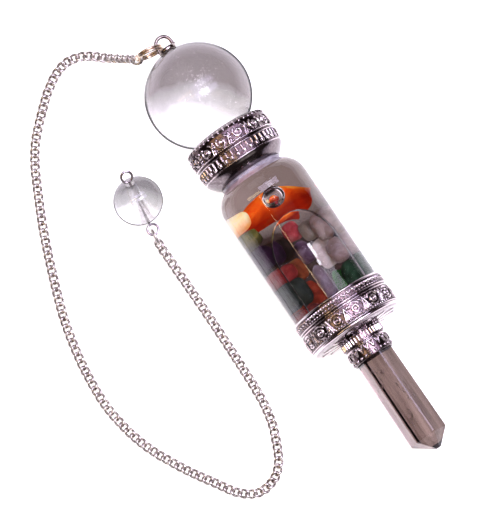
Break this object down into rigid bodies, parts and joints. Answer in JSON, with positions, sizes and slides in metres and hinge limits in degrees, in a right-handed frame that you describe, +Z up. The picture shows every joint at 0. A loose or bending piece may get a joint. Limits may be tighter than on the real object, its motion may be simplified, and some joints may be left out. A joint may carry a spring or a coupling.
{
  "type": "gem chamber pendulum pendant with a chain and a bead",
  "caption": "Dowsing pendulum: crystal ball, glass chamber of gem chips in liquid, cast silver collars and a crystal point, with a chain ending in a clear bead.",
  "frame": {"origin": "middle of the object's outline on the surface it lies on", "axes": "+X along the pendant, from the ball towards the crystal point; +Z up from the surface"},
  "size_m": [0.1002, 0.0562, 0.02],
  "materials": {
    "ball_crystal": "polished, clear",
    "bead_crystal": "polished, clear",
    "chamber_glass": "polished, clear, filled with clear liquid",
    "point_crystal": "polished, smoky, with veils inside",
    "wire_silver": "polished silver plate",
    "chain_silver": "polished silver plate",
    "ring_bronze": "polished bronze tone",
    "cast_silver": "antiqued silver plate, dark in the recesses",
    "stone_citrine": "tumbled, polished",
    "stone_olive_jade": "tumbled, polished",
    "stone_sodalite": "tumbled, polished",
    "stone_red_jasper": "tumbled, polished",
    "stone_aventurine": "tumbled, polished",
    "stone_mahogany": "tumbled, polished",
    "stone_carnelian": "tumbled, polished",
    "stone_rhodonite": "tumbled, polished",
    "stone_moss_agate": "tumbled, polished",
    "stone_fire_agate": "tumbled, polished",
    "stone_red_agate": "tumbled, polished",
    "stone_amethyst": "tumbled, polished",
    "stone_lilac_quartz": "tumbled, polished",
    "stone_grey_quartz": "tumbled, polished",
    "stone_rose_quartz": "tumbled, polished",
    "stone_jade": "tumbled, polished",
    "stone_dark_jade": "tumbled, polished",
    "stone_mauve_quartz": "tumbled, polished",
    "stone_ice_quartz": "tumbled, polished"
  },
  "bodies": {
    "root": {"crystal_ball": "ball_crystal", "bead": "bead_crystal", "glass_chamber": "chamber_glass", "crystal_point": "point_crystal", "peg_bail": "wire_silver", "bead_wire": "wire_silver", "chain": "chain_silver", "split_ring": "ring_bronze", "collar": "cast_silver", "base_cap": "cast_silver", "point_ferrule": "cast_silver", "chip_citrine": "stone_citrine", "chip_olive_jade": "stone_olive_jade", "chip_sodalite": "stone_sodalite", "chip_red_jasper": "stone_red_jasper", "chip_aventurine": "stone_aventurine", "chip_mahogany": "stone_mahogany", "chip_carnelian": "stone_carnelian", "chip_rhodonite": "stone_rhodonite", "chip_moss_agate": "stone_moss_agate", "chip_fire_agate": "stone_fire_agate", "chip_red_agate": "stone_red_agate", "chip_amethyst": "stone_amethyst", "chip_lilac_quartz": "stone_lilac_quartz", "chip_grey_quartz": "stone_grey_quartz", "chip_rose_quartz": "stone_rose_quartz", "chip_jade": "stone_jade", "chip_dark_jade": "stone_dark_jade", "chip_mauve_quartz": "stone_mauve_quartz", "chip_ice_quartz": "stone_ice_quartz"}
  },
  "joints": []
}
